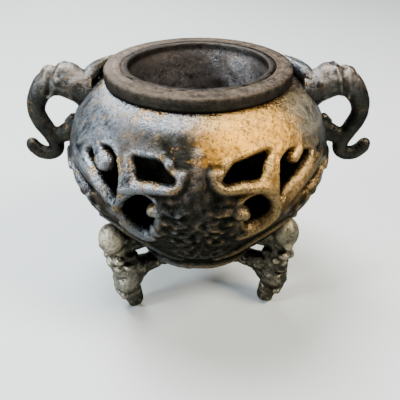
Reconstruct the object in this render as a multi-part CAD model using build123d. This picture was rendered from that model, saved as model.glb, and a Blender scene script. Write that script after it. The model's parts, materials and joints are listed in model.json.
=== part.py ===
from build123d import *
import math
import os

# Cast-bronze incense burner: a pierced bowl on three legs, two elephant-head
# handles, and a lift-out liner cup soldered into a heavy rim ring.
# Millimetres. Origin on the bowl's axis, on the surface that the feet stand on.
# +Z is up, the front is -Y, and the handles lie along X.

# Driving dimensions
total_height = 106.0
ring_radius = 36.0
ring_height = 5.5
hole_radius = 26.8
cup_wall = 1.5
cup_depth = 62.0
cup_corner = 9.0
lip_radius = 29.7
lip_height = 1.0
seat_gap = 0.3

belly_radius = 52.1
belly_height = 70.7
foot_ring_radius = 25.5
foot_ring_base = 25.5
foot_ring_top = 31.6
mouth_radius = 30.0
bowl_wall = 3.2

# Lower side of the bowl: radius, height, and the slope angle of its outward normal
side_points = (
    (32.0, 36.7, -46),
    (39.6, 45.0, -40),
    (47.6, 57.7, -24),
    (belly_radius, belly_height, 0),
)

# Longer than any wall, for cutters that pass right through
through_length = 60.0

# Openings of one quarter of the bowl: two seen from the front, one from the side
window_corner = 1.6
cutter_length = belly_radius + 5
upper_window = ((9.0, 83.0), (13.5, 88.3), (25.0, 88.3), (22.5, 81.2), (10.5, 80.8))
lower_window = ((14.5, 75.5), (25.5, 75.5), (27.0, 70.0), (23.0, 65.5), (15.5, 62.0))
leaf_window = ((27.0, 84.5), (31.5, 88.0), (40.5, 86.5), (42.5, 75.0), (40.0, 70.5))

leg_turn = 3.0
leg_azimuths = {
    "leg_front_left": 210 + leg_turn,
    "leg_front_right": 330 + leg_turn,
    "leg_back": 90 + leg_turn,
}

# Values worked out from the driving dimensions
ring_base = total_height - ring_height
seat_height = ring_base - seat_gap
cup_radius = hole_radius + cup_wall
shoulder_drop = seat_height - belly_height
shoulder_axis = shoulder_drop / math.sqrt(1 - (ring_radius / belly_radius) ** 2)


def shoulder_curve(cut):
    """Elliptic shoulder of the bowl, from its widest place up to the seat."""
    wide = belly_radius - cut
    tall = shoulder_axis - cut
    end_angle = math.degrees(math.asin((seat_height - belly_height) / tall))
    return EllipticalCenterArc((0, belly_height), wide, tall, arc_size=end_angle)


def bowl_solid(cut):
    """Solid of revolution inside the bowl's outer face, moved in by cut."""
    floor = foot_ring_base + cut
    neck = (foot_ring_radius - cut, foot_ring_top + 0.5 * cut)
    side = [neck]
    for radius, height, slope in side_points:
        inward = math.radians(slope)
        side.append((radius - cut * math.cos(inward), height - cut * math.sin(inward)))
    flank = Spline(*side)
    shoulder = shoulder_curve(cut)
    outline = Polyline(
        shoulder @ 1, (0, seat_height), (0, floor), (neck[0], floor), neck
    )
    section = make_face(Wire([flank, shoulder] + outline.edges()))
    return revolve(Plane.XZ * section, Axis.Z)


def rounded_window(points, radius):
    """Window outline with all its corners rounded."""
    face = make_face(Polyline(*points, close=True))
    return fillet(face.vertices(), radius)


def front_windows():
    """Cutters for the two upper and two lower openings of one pierced panel."""
    cutters = []
    for points in (upper_window, lower_window):
        outline = rounded_window(points, window_corner)
        cutter = extrude(Plane.XZ * outline, cutter_length)
        cutters += [cutter, mirror(cutter, about=Plane.YZ)]
    return cutters


def side_windows():
    """Cutters for the two leaf openings beside one handle."""
    outline = rounded_window(leaf_window, window_corner)
    cutter = extrude(Plane.YZ * outline, cutter_length)
    return [cutter, mirror(cutter, about=Plane.XZ)]


def body_shell():
    """Pierced bowl with an open mouth and a flat bottom."""
    shell = bowl_solid(0) - bowl_solid(bowl_wall)
    shell -= Pos(0, 0, seat_height) * Cylinder(mouth_radius, 6 * bowl_wall)
    for cutter in front_windows():
        shell -= cutter
        shell -= mirror(cutter, about=Plane.XZ)
    for cutter in side_windows():
        shell -= cutter
        shell -= mirror(cutter, about=Plane.YZ)
    for hole in rivet_holes():
        shell -= hole
    for tenon in handle_tenons():
        shell -= tenon
        shell -= mirror(tenon, about=Plane.YZ)
    return shell


# Liner: a thin cup whose lip lies in a recess of the heavy rim ring
ring_edge = 0.8


def liner_cup():
    """Deep round-bottomed cup with a narrow lip."""
    bottom = total_height - cup_depth
    outside = Pos(0, 0, bottom) * Cylinder(
        cup_radius, cup_depth, align=(Align.CENTER, Align.CENTER, Align.MIN)
    )
    outside = fillet(outside.edges().sort_by(Axis.Z)[0], cup_corner)
    inside = Pos(0, 0, bottom + cup_wall) * Cylinder(
        hole_radius, cup_depth, align=(Align.CENTER, Align.CENTER, Align.MIN)
    )
    inside = fillet(inside.edges().sort_by(Axis.Z)[0], cup_corner - cup_wall)
    lip = Pos(0, 0, total_height) * Cylinder(
        lip_radius, lip_height, align=(Align.CENTER, Align.CENTER, Align.MAX)
    )
    return outside + lip - inside


def rim_ring():
    """Heavy turned ring with a softened outer edge and a recess for the lip."""
    ring = Pos(0, 0, ring_base) * Cylinder(
        ring_radius, ring_height, align=(Align.CENTER, Align.CENTER, Align.MIN)
    )
    ring = fillet(ring.edges().sort_by(Axis.Z)[-1], ring_edge)
    ring -= Pos(0, 0, total_height) * Cylinder(cup_radius, 4 * ring_height)
    ring -= Pos(0, 0, total_height) * Cylinder(lip_radius, 2 * lip_height)
    return ring


# Lugs: leaf-shaped stops that stand on the shoulder beside the rim ring
lug_clearance = 0.4
lug_top = 103.6
lug_base = 90.0
lug_inner_point = (-28.0, 3.0)
lug_edge = ((-30.0, 20.6), (-36.2, 10.6), (-41.2, 3.4), (-43.4, -1.6), (-35.0, -4.2))


def left_lug():
    """Leaf that starts flush with the ring behind and ends in a point beside it."""
    outer_edge = Spline(*lug_edge[:4])
    front_edge = Polyline(*lug_edge[3:])
    closing_edge = Polyline(lug_edge[4], lug_inner_point, lug_edge[0])
    edges = [outer_edge] + front_edge.edges() + closing_edge.edges()
    leaf = extrude(Pos(0, 0, lug_base) * make_face(Wire(edges)), lug_top - lug_base)
    leaf -= Pos(0, 0, total_height) * Cylinder(ring_radius + lug_clearance, through_length)
    return leaf - bowl_solid(0) - left_handle()


# Handles: an elephant's head with its trunk curling down, in and out again
handle_path = (
    (47.0, 0, 99.5),
    (60.5, 0, 102.0),
    (67.2, 0, 90.5),
    (59.0, 0, 77.5),
    (58.5, 0, 66.0),
    (65.6, 0, 65.5),
    (66.6, 0, 71.5),
)
handle_bends = (7.5, 9.0, 8.0, 3.6, 2.4)
trunk_radius = 3.1
head_start = (45.0, 0, 96.8)
head_tilt = 82.0
head_length = 17.0
brow_middle = (54.0, 0, 100.0)
head_root_radius = 6.4
head_end_radius = 5.2
tab_height = 75.5
tab_radius = 3.4
tab_length = 11.0
tab_overlap = 3.0
tenon_radius = 2.4
tenon_depth = 6.0
tenon_overlap = 2.0
upper_tenon_height = 92.5
upper_tenon_start = 39.5
upper_tenon_length = 14.0


def handle_tenons():
    """Round tenons that pass through the bowl's wall, one above the other."""
    upper = Pos(upper_tenon_start, 0, upper_tenon_height) * Rot(0, 90, 0) * Cylinder(
        tenon_radius,
        upper_tenon_length,
        align=(Align.CENTER, Align.CENTER, Align.MIN),
    )
    lower = Pos(belly_radius - tenon_depth, 0, tab_height) * Rot(0, 90, 0) * Cylinder(
        tenon_radius,
        tenon_depth + tenon_overlap,
        align=(Align.CENTER, Align.CENTER, Align.MIN),
    )
    return [upper, lower]


def right_handle():
    """Head, curled trunk, lower tab and tenons of one handle."""
    path = FilletPolyline(*handle_path, radius=handle_bends)
    start = Plane(origin=path @ 0, z_dir=path % 0)
    trunk = sweep(start * Circle(trunk_radius), path=path)
    tip = Pos(*(path @ 1)) * Sphere(trunk_radius)
    head = Pos(*head_start) * Rot(0, head_tilt, 0) * Cone(
        head_root_radius,
        head_end_radius,
        head_length,
        align=(Align.CENTER, Align.CENTER, Align.MIN),
    )
    brow = Pos(*brow_middle) * Sphere(head_end_radius)
    tab = Pos(belly_radius - tab_overlap, 0, tab_height) * Rot(0, 90, 0) * Cylinder(
        tab_radius, tab_length, align=(Align.CENTER, Align.CENTER, Align.MIN)
    )
    handle = head + brow + trunk + tip + tab
    handle -= bowl_solid(0)
    for tenon in handle_tenons():
        handle += tenon
    return handle


def left_handle():
    """The same handle turned half round to the other side."""
    return Rot(0, 0, 180) * right_handle()


# Legs: a domed head against the bowl, a lower leg, a foot and an arm below
dome_radius = 4.8
dome_half_height = 6.8
dome_reach = 43.2
dome_height = 39.8
knee_reach = 39.5
collar_radius = 5.2
collar_base = 22.0
collar_height = 13.0
shin_radius = 6.6
shin_height = 14.5
shin_setback = 1.5
foot_reach = 34.5
foot_radius = 4.2
ankle_radius = 6.0
ankle_height = 14.0
arm_height = 6.0
arm_width = 8.0
arm_end_reach = 15.0
brace_radius = 4.2
brace_length = 12.0
brace_tilt = 60.0
brace_setback = 9.5
brace_height = 17.5
rivet_reach = 18.5
rivet_radius = 1.8
rivet_head_radius = 3.0
rivet_head_height = 1.4


def leg(azimuth):
    """One leg, built along X and turned to its place."""
    dome = Pos(dome_reach, 0, dome_height) * scale(
        Sphere(dome_radius), by=(1, 1, dome_half_height / dome_radius)
    )
    collar = Pos(knee_reach, 0, collar_base) * Cylinder(
        collar_radius, collar_height, align=(Align.CENTER, Align.CENTER, Align.MIN)
    )
    shin = Pos(knee_reach - shin_setback, 0, shin_height) * Sphere(shin_radius)
    foot = Pos(foot_reach, 0, 0) * Cone(
        foot_radius,
        ankle_radius,
        ankle_height,
        align=(Align.CENTER, Align.CENTER, Align.MIN),
    )
    arm_top = foot_ring_base
    arm_length = knee_reach - arm_end_reach
    arm = Pos(arm_end_reach, 0, arm_top - arm_height) * Box(
        arm_length, arm_width, arm_height, align=(Align.MIN, Align.CENTER, Align.MIN)
    )
    brace = Pos(knee_reach - brace_setback, 0, brace_height) * Rot(
        0, brace_tilt, 0
    ) * Cylinder(brace_radius, brace_length)
    body = dome + collar + shin + foot + arm + brace
    body -= bowl_solid(0)
    body -= Pos(rivet_reach, 0, 0) * Cylinder(rivet_radius, through_length)
    return Rot(0, 0, azimuth) * body


def rivet():
    """Rivet that holds one arm to the bowl's bottom, built along X."""
    arm_bottom = foot_ring_base - arm_height
    floor_top = foot_ring_base + bowl_wall
    shank = Pos(rivet_reach, 0, arm_bottom) * Cylinder(
        rivet_radius,
        floor_top - arm_bottom,
        align=(Align.CENTER, Align.CENTER, Align.MIN),
    )
    lower_head = Pos(rivet_reach, 0, arm_bottom) * Cylinder(
        rivet_head_radius,
        rivet_head_height,
        align=(Align.CENTER, Align.CENTER, Align.MAX),
    )
    upper_head = Pos(rivet_reach, 0, floor_top) * Cylinder(
        rivet_head_radius,
        rivet_head_height,
        align=(Align.CENTER, Align.CENTER, Align.MIN),
    )
    return shank + lower_head + upper_head


def rivet_holes():
    """Holes for the three leg rivets in the bowl's bottom."""
    hole = Pos(rivet_reach, 0, foot_ring_base) * Cylinder(rivet_radius, 6 * bowl_wall)
    return [Rot(0, 0, azimuth) * hole for azimuth in leg_azimuths.values()]


def leg_rivets():
    """The three rivets as one group of separate solids."""
    return Compound([Rot(0, 0, azimuth) * rivet() for azimuth in leg_azimuths.values()])


nodes = {
    "body_shell": body_shell(),
    "liner_cup": liner_cup(),
    "rim_ring": rim_ring(),
    "left_lug": left_lug(),
    "right_lug": mirror(left_lug(), about=Plane.YZ),
    "right_handle": right_handle(),
    "left_handle": left_handle(),
    "leg_rivets": leg_rivets(),
}
for name, azimuth in leg_azimuths.items():
    nodes[name] = leg(azimuth)

os.makedirs("parts", exist_ok=True)
for name, shape in nodes.items():
    export_step(shape, f"parts/{name}.step")
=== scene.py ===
import json
import math
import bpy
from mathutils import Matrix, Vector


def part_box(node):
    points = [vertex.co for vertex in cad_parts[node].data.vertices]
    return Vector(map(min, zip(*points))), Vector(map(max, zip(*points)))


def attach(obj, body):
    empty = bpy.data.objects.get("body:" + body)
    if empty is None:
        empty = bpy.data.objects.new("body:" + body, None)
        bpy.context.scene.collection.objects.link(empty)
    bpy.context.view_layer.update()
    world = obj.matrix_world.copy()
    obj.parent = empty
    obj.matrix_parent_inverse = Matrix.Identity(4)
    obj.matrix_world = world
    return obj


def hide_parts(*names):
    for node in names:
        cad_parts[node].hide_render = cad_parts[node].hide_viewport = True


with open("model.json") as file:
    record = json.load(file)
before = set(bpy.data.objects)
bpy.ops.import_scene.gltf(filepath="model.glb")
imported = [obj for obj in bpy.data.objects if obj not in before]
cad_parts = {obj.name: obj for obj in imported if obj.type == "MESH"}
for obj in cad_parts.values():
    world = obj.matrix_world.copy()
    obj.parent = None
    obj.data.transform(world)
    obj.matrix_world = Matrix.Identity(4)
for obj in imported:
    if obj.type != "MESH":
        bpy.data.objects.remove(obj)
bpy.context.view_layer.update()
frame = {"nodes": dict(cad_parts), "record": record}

from types import SimpleNamespace

import bpy
import numpy as np
from mathutils import Vector, noise

# Cast-bronze incense burner. Shapes are worked out in millimetres and become metres
# when a mesh is made. The front is -Y, and angles on the bowl are counted from the
# front, positive towards +X.
MM = 0.001


# ---- sizes
def corner_mm(node, end):
    """Lowest (0) or highest (1) corner of a CAD node, in millimetres."""
    return np.array(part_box(node)[end]) / MM


ring_top = corner_mm("rim_ring", 1)[2]
ring_base = corner_mm("rim_ring", 0)[2]
ring_radius = corner_mm("rim_ring", 1)[0]
lip_radius = corner_mm("liner_cup", 1)[0]
cup_bottom = corner_mm("liner_cup", 0)[2]
seat_height = corner_mm("body_shell", 1)[2]
foot_ring_base = corner_mm("body_shell", 0)[2]
belly_radius = corner_mm("body_shell", 1)[0]
hole_radius = frame["record"]["mounts"][2]["dims"]["r_mm"]

# Sizes that the frame's boxes don't give, in millimetres
belly_height = 70.7
mouth_radius = 30.0
bowl_wall = 3.2
foot_ring_radius = 25.5
foot_ring_top = 31.6
lip_groove = 0.03        # half of the fine seam between the rim and the liner's lip
lip_depth = 1.0
ring_clearance = 0.45    # between the rim ring and the lugs

# Each leg's angle round the axis in degrees, and how far its head is pulled in
leg_azimuths = {"leg_front_left": 213.0, "leg_front_right": 333.0, "leg_back": 93.0}
leg_pulls = {"leg_front_left": 0.0, "leg_front_right": 1.4, "leg_back": 0.7}

# Camera: lens and sensor in millimetres, tilt in degrees, place in metres
camera_lens = 48.33
camera_sensor = 36.0
camera_tilt = 32.44
camera_place = (0.0007, -0.2009, ring_top * MM + 0.0657)

# Area lights in metres and watts: name, place, width, power, colour
lit_point = (0, 0, 0.07)
area_lights = [
    ("key", (-0.16, 0.10, 0.72), 0.34, 17.0, (0.92, 0.97, 1.0)),
    ("side", (-0.72, -0.34, 0.36), 0.18, 12.0, (0.82, 0.92, 1.0)),
    ("fill", (0.46, -0.26, 0.64), 0.26, 13.0, (1.0, 0.90, 0.74)),
    ("back", (-0.28, 0.72, 0.50), 0.40, 10.0, (0.93, 0.97, 1.0)),
]
world_colour, world_strength = (0.82, 0.91, 1.0, 1), 0.10
floor_colour, floor_roughness, floor_reach = (0.44, 0.46, 0.45, 1), 0.85, 3.0


# ---- camera, light, floor
def add_camera():
    """Camera in front of the burner, about 21 cm away, looking down on it."""
    data = bpy.data.cameras.new("camera")
    data.sensor_width = camera_sensor
    data.lens = camera_lens
    data.clip_start = 0.01
    camera = bpy.data.objects.new("camera", data)
    camera.location = camera_place
    camera.rotation_euler = (math.radians(90 - camera_tilt), 0, 0)
    bpy.context.scene.collection.objects.link(camera)
    bpy.context.scene.camera = camera


def add_studio():
    """Pale floor, cool lights from above, the left and behind, and a warm one from the right."""
    collection = bpy.context.scene.collection
    world = bpy.data.worlds.new("studio")
    world.use_nodes = True
    background = world.node_tree.nodes["Background"]
    background.inputs["Color"].default_value = world_colour
    background.inputs["Strength"].default_value = world_strength
    bpy.context.scene.world = world
    for name, place, width, power, colour in area_lights:
        data = bpy.data.lights.new(name, "AREA")
        data.size, data.energy, data.color = width, power, colour
        light = bpy.data.objects.new(name, data)
        light.location = place
        direction = Vector(lit_point) - Vector(place)
        light.rotation_euler = direction.to_track_quat("-Z", "Y").to_euler()
        collection.objects.link(light)

    mesh = bpy.data.meshes.new("floor")
    corners = [(x * floor_reach, y * floor_reach, 0)
               for x, y in ((-1, -1), (1, -1), (1, 1), (-1, 1))]
    mesh.from_pydata(corners, [], [(0, 1, 2, 3)])
    floor = bpy.data.objects.new("floor", mesh)
    collection.objects.link(floor)
    material = bpy.data.materials.new("pale_floor")
    material.use_nodes = True
    shader = material.node_tree.nodes["Principled BSDF"]
    shader.inputs["Base Color"].default_value = floor_colour
    shader.inputs["Roughness"].default_value = floor_roughness
    mesh.materials.append(material)


# ---- curves and noise
def smooth_step(value, low, high):
    """0 below low, 1 above high, and a smooth ramp between them."""
    t = np.clip((value - low) / (high - low), 0, 1)
    return t * t * (3 - 2 * t)


def smooth_line(points, count, closed=False):
    """Catmull-Rom curve through the points, as count evenly spread samples."""
    points = np.asarray(points, float)
    if closed:
        padded = np.vstack([points[-1:], points, points[:2]])
    else:
        first = 2 * points[0] - points[1]
        last = 2 * points[-1] - points[-2]
        padded = np.vstack([first, points, last])
    spans = len(padded) - 3
    t = np.linspace(0, spans, count, endpoint=not closed)
    index = np.minimum(t.astype(int), spans - 1)
    f = (t - index)[:, None]
    a, b, c, d = (padded[index + k] for k in range(4))
    return 0.5 * (
        2 * b
        + (c - a) * f
        + (2 * a - 5 * b + 4 * c - d) * f**2
        + (3 * b - a - 3 * c + d) * f**3
    )


def roughness_of_cast(points, scale, seed):
    """Smooth random value from about -1 to 1 for each point, scale in millimetres."""
    shift = Vector((seed * 7.1, seed * 3.3, seed * 5.7))
    return np.array([noise.noise(Vector(p) / scale + shift) for p in points])


def unit_rows(vectors, least=0.0):
    """Vectors scaled to length 1; least keeps a zero vector from dividing by zero."""
    return vectors / (np.linalg.norm(vectors, axis=1)[:, None] + least)


def turned(points, degrees):
    """Points turned about the Z axis."""
    angle = math.radians(degrees)
    c, s = math.cos(angle), math.sin(angle)
    x = points[:, 0] * c - points[:, 1] * s
    y = points[:, 0] * s + points[:, 1] * c
    return np.stack([x, y, points[:, 2]], axis=1)


# ---- meshes
def read_rows(items, key, width, kind=float):
    """Values of a mesh's vertices or edges, as rows of an array."""
    values = np.empty(len(items) * width, kind)
    items.foreach_get(key, values)
    return values.reshape(-1, width)


def add_standing_out(mesh, name, reach, gain):
    """Store how far each place stands out: near 1 on crests, near 0 in hollows."""
    edges = read_rows(mesh.edges, "vertices", 2, int)
    places = read_rows(mesh.vertices, "co", 3)
    normals = read_rows(mesh.vertex_normals, "vector", 3)
    degree = np.maximum(np.bincount(edges.ravel(), minlength=len(places)), 1)

    def neighbour_mean(values):
        total = np.zeros_like(values)
        np.add.at(total, edges[:, 0], values[edges[:, 1]])
        np.add.at(total, edges[:, 1], values[edges[:, 0]])
        return total / degree.reshape([-1] + [1] * (values.ndim - 1))

    smoothed = places
    for _ in range(reach):
        smoothed = neighbour_mean(smoothed)
    height = np.einsum("ij,ij->i", places - smoothed, normals) / MM
    height = neighbour_mean(neighbour_mean(height))
    attribute = mesh.attributes.new(name, "FLOAT", "POINT")
    attribute.data.foreach_set("value", np.clip(0.5 + height * gain, 0, 1))


def make_piece(name, points, faces, body, slot, node):
    """Object from millimetre points and faces that stands for a CAD node of a body."""
    mesh = bpy.data.meshes.new(name)
    mesh.from_pydata((np.asarray(points) * MM).tolist(), [], faces)
    mesh.validate()
    mesh.polygons.foreach_set("use_smooth", [True] * len(mesh.polygons))
    mesh.update()
    add_standing_out(mesh, "wear", reach=4, gain=3.0)
    add_standing_out(mesh, "form", reach=30, gain=0.9)
    mesh.materials.append(cast_bronze(slot))
    piece = bpy.data.objects.new(name, mesh)
    bpy.context.scene.collection.objects.link(piece)
    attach(piece, body)
    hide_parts(node)


# ---- blended solids
class Solid:
    """Sampled distance, negative inside, that rods and balls are blended into."""

    def __init__(self, low, high, step):
        self.low, self.step = np.array(low), step
        axes = [np.arange(a, b + step, step) for a, b in zip(low, high)]
        self.grid = np.meshgrid(*axes, indexing="ij")
        self.field = np.full(self.grid[0].shape, 50.0)

    def blend(self, other, soft, sign=1):
        """Add a shape with a soft fillet, or carve it away if the sign is -1."""
        field = sign * self.field
        h = np.clip(0.5 + 0.5 * (field - other) / soft, 0, 1)
        self.field = sign * (field + (other - field) * h - soft * h * (1 - h))

    def rod(self, start, end, radii, soft, flat=1.0, sign=1):
        """Tapered rod; flat under 1 squeezes it along Y."""
        start = np.asarray(start, float)
        axis = np.asarray(end, float) - start
        x, y, z = (values - place for values, place in zip(self.grid, start))
        y = y / flat
        t = np.clip((x * axis[0] + y * axis[1] + z * axis[2]) / (axis @ axis + 1e-9), 0, 1)
        gap = np.sqrt((x - t * axis[0]) ** 2 + (y - t * axis[1]) ** 2 + (z - t * axis[2]) ** 2)
        self.blend(gap - (radii[0] + (radii[1] - radii[0]) * t), soft, sign)

    def ball(self, middle, radii, soft):
        """Ellipsoid, with a rough distance."""
        q = sum(((a - m) / r) ** 2 for a, m, r in zip(self.grid, middle, radii))
        self.blend((np.sqrt(q) - 1) * min(radii), soft)

    def cut(self, other):
        """Keep only what is inside the other distance too."""
        self.field = np.maximum(self.field, other)

    def beyond_bowl(self, buried):
        """How far inside the bowl's face each place is, the face moved in by buried."""
        x, y, z = self.grid
        return -(np.hypot(x, y) - np.interp(z, bowl_heights, bowl_radii) + buried)

    def mesh(self):
        """Closed quads around the places where the field is negative."""
        field, cells = self.field, np.array(self.field.shape) - 1
        total = np.zeros((cells.prod(), 3))
        count = np.zeros(cells.prod(), int)
        quads = []
        for axis in range(3):
            here = np.take(field, range(cells[axis]), axis=axis)
            there = np.take(field, range(1, cells[axis] + 1), axis=axis)
            index = np.argwhere((here < 0) != (there < 0))
            a, b = here[tuple(index.T)], there[tuple(index.T)]
            place = index.astype(float)
            place[:, axis] += a / (a - b)
            offset = np.zeros((4, 3), int)
            offset[:, (axis + 1) % 3] = (1, 0, 0, 1)
            offset[:, (axis + 2) % 3] = (1, 1, 0, 0)
            around = index[:, None] - offset
            inside = np.all((around >= 0) & (around < cells), axis=(1, 2))
            ring = np.ravel_multi_index(tuple(np.moveaxis(around[inside], 2, 0)), cells)
            for cell in ring.T:
                np.add.at(total, cell, place[inside])
                np.add.at(count, cell, 1)
            quads.append(np.where(a[inside, None] < 0, ring, ring[:, ::-1]))
        used = np.flatnonzero(count)
        number = np.full(cells.prod(), -1)
        number[used] = np.arange(len(used))
        points = total[used] / count[used][:, None] * self.step + self.low
        return points, number[np.vstack(quads)].tolist()


# ---- bowl's section
def bowl_rows():
    """Matching rows of the bowl's outer and inner faces, as (radius, height) arrays.

    The last two values are the first row of the round flank and the first row after it.
    """
    base, edge = foot_ring_base, foot_ring_radius
    inner_base, inner_edge = base + bowl_wall, edge - bowl_wall
    bottom = [(r, base) for r in np.linspace(1.5, edge - 1.2, 7)]
    inner_bottom = [(r, inner_base) for r in np.linspace(1.5, inner_edge - 1.2, 7)]
    foot = smooth_line([(edge - 0.5, base + 0.1), (edge, base + 1.0), (edge - 0.1, base + 2.4),
                        (edge - 1.0, base + 4.2), (edge - 0.3, foot_ring_top - 0.6)], 9)
    inner_foot = smooth_line([(inner_edge - 0.6, inner_base), (inner_edge, inner_base + 2),
                              (inner_edge + 0.2, foot_ring_top + 1.6)], 9)
    flank = smooth_line([(27.0, 32.6), (32.0, 36.7), (39.6, 45.0), (47.6, 57.7),
                         (belly_radius - 0.55, 65.6), (belly_radius, belly_height)], 78)[:-1]

    rise = seat_height - belly_height
    tall = rise / math.sqrt(1 - (ring_radius / belly_radius) ** 2)
    pattern_end = math.asin(19.5 / tall)
    shoulder_end = math.asin(rise / tall)
    turn = np.concatenate([np.linspace(0, pattern_end, 40),
                           np.linspace(pattern_end, shoulder_end, 13)[1:]])
    shoulder = np.stack([belly_radius * np.cos(turn), belly_height + tall * np.sin(turn)], axis=1)
    upper = np.vstack([flank, shoulder])
    slope = np.gradient(upper, axis=0)
    normal = unit_rows(np.stack([slope[:, 1], -slope[:, 0]], axis=1))
    inner_upper = upper - normal * bowl_wall
    inner_upper[:, 0] = np.maximum(inner_upper[:, 0], mouth_radius + 1.5)

    seat = [(r, seat_height) for r in (34.5, 32.5, 31.0, mouth_radius)]
    inner_seat = [(r, seat_height - bowl_wall) for r in (31.3, 30.9, 30.4, mouth_radius)]
    outer = np.vstack([bottom, foot, upper, seat])
    inner = np.vstack([inner_bottom, inner_foot, inner_upper, inner_seat])
    first_upper = len(bottom) + len(foot)
    return outer, inner, first_upper, first_upper + len(upper)


outer_rows, inner_rows, first_row, last_row = bowl_rows()
bowl_radii, bowl_heights = outer_rows[first_row:last_row].T
row_steps = np.linalg.norm(np.diff(outer_rows, axis=0), axis=1)
arc_length = np.concatenate([[0], np.cumsum(row_steps)])
pattern_radius = 50.5
columns = 540
angle_deg = np.arange(columns) * 360 / columns - 180
fold_deg = np.where(np.abs(angle_deg) <= 90, np.abs(angle_deg), 180 - np.abs(angle_deg))
side_of = np.sign(angle_deg)[None, :]


def arc_at(height):
    """Length along the bowl's outline up to a height on its flank."""
    return np.interp(height, bowl_heights, arc_length[first_row:last_row])


def along(points):
    """Pattern coordinates in millimetres of (angle, height) places."""
    angle, height = np.array(points, float).T
    return np.stack([np.radians(angle) * pattern_radius, arc_at(height)], axis=-1)


def on_side(side):
    """Grid columns of the left side (-1), the right side (1) or both (0)."""
    return (side == 0) | (side_of == side)


# Pattern coordinates of every grid place, folded onto one quarter of the bowl
grid_u, grid_s = np.broadcast_arrays(
    (np.radians(fold_deg) * pattern_radius)[None, :], arc_length[:, None]
)


def line_gap(points):
    """Distance from every grid place to a chain of points, and where along it."""
    best = np.full(grid_u.shape, 1e9)
    where = np.zeros(grid_u.shape)
    spans = len(points) - 1
    for k in range(spans):
        a, b = points[k], points[k + 1]
        d = b - a
        t = np.clip(((grid_u - a[0]) * d[0] + (grid_s - a[1]) * d[1]) / (d @ d + 1e-9), 0, 1)
        gap = np.hypot(grid_u - a[0] - t * d[0], grid_s - a[1] - t * d[1])
        closer = gap < best
        best = np.where(closer, gap, best)
        where = np.where(closer, (k + t) / spans, where)
    return best, where


def window_gap(outline):
    """Signed distance to a closed smooth outline, negative inside it."""
    loop = smooth_line(along(outline), 6 * len(outline), closed=True)
    loop = np.vstack([loop, loop[:1]])
    gap, _ = line_gap(loop)
    inside = np.zeros(grid_u.shape, bool)
    for (ua, sa), (ub, sb) in zip(loop[:-1], loop[1:]):
        crosses = (sa > grid_s) != (sb > grid_s)
        run = 1e-9 if sb == sa else sb - sa
        inside ^= crosses & (grid_u < (ub - ua) * (grid_s - sa) / run + ua)
    return np.where(inside, -gap, gap)


# ---- bowl's pattern
# Openings: side (-1 left, 1 right, 0 both) and outline as (angle from the panel's
# middle, height); the back repeats the front
openings = [
    (-1, [(8.8, 82.9), (10.4, 84.0), (12.9, 85.6), (14.6, 87.3), (17.5, 88.1), (22.5, 88.0),
          (26.8, 87.9), (27.3, 86.8), (26.0, 84.6), (25.4, 82.2), (24.2, 81.2), (18.0, 81.4),
          (12.0, 81.1), (9.6, 81.5)]),
    (1, [(9.8, 82.3), (12.2, 85.2), (14.8, 87.2), (20.5, 88.2), (26.5, 89.0), (31.0, 88.9),
         (28.6, 86.4), (27.0, 83.2), (25.0, 81.2), (18.0, 81.6), (12.0, 81.2)]),
    (-1, [(16.8, 73.8), (20.0, 75.8), (24.5, 75.4), (29.0, 72.4), (32.3, 67.5), (32.5, 62.8),
          (29.8, 58.4), (25.0, 56.0), (21.0, 58.2), (18.6, 62.6), (17.3, 67.0), (16.4, 70.5)]),
    (1, [(18.0, 74.2), (21.0, 75.6), (25.0, 75.3), (28.8, 72.2), (30.3, 68.4), (28.8, 64.8),
         (25.2, 62.2), (21.4, 61.4), (19.2, 63.6), (18.0, 67.0), (17.2, 70.8)]),
    (-1, [(55.0, 83.0), (47.1, 79.6), (42.7, 77.2), (37.4, 74.2), (34.2, 71.2), (32.7, 75.0),
          (32.5, 79.4), (33.2, 83.0), (35.4, 86.0), (39.5, 88.0), (45.0, 87.8), (50.5, 85.6)]),
    (1, [(56.0, 83.0), (49.6, 80.6), (41.0, 77.4), (35.6, 74.4), (33.7, 72.4), (33.0, 76.0),
         (33.2, 80.0), (34.4, 83.8), (37.4, 86.2), (41.5, 87.2), (46.5, 86.4), (51.5, 84.8)]),
    (0, [(65.0, 75.4), (58.0, 74.6), (51.5, 73.2), (45.5, 71.0), (51.5, 69.8), (58.5, 71.0),
         (65.5, 72.6)]),
    (0, [(68.0, 69.0), (71.5, 72.0), (77.0, 71.6), (78.8, 67.6), (75.5, 62.6), (69.5, 60.6),
         (66.5, 63.6)]),
]

# Small cast beads and drops that reach into openings: side, start, end, radius, height
beads = [
    (-1, (15.0, 71.2), (17.2, 71.4), 2.2, 2.2),
    (-1, (16.4, 60.2), (18.6, 60.4), 2.1, 1.5),
    (1, (15.6, 70.4), (17.4, 70.0), 2.5, 2.6),
    (-1, (52.0, 89.0), (44.0, 84.6), 2.7, 0.7),
    (-1, (42.2, 84.2), (41.0, 83.4), 3.5, 2.4),
    (1, (47.5, 86.2), (43.2, 84.2), 2.0, 1.3),
    (0, (78.0, 74.5), (73.5, 69.5), 1.9, 1.2),
]

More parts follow.
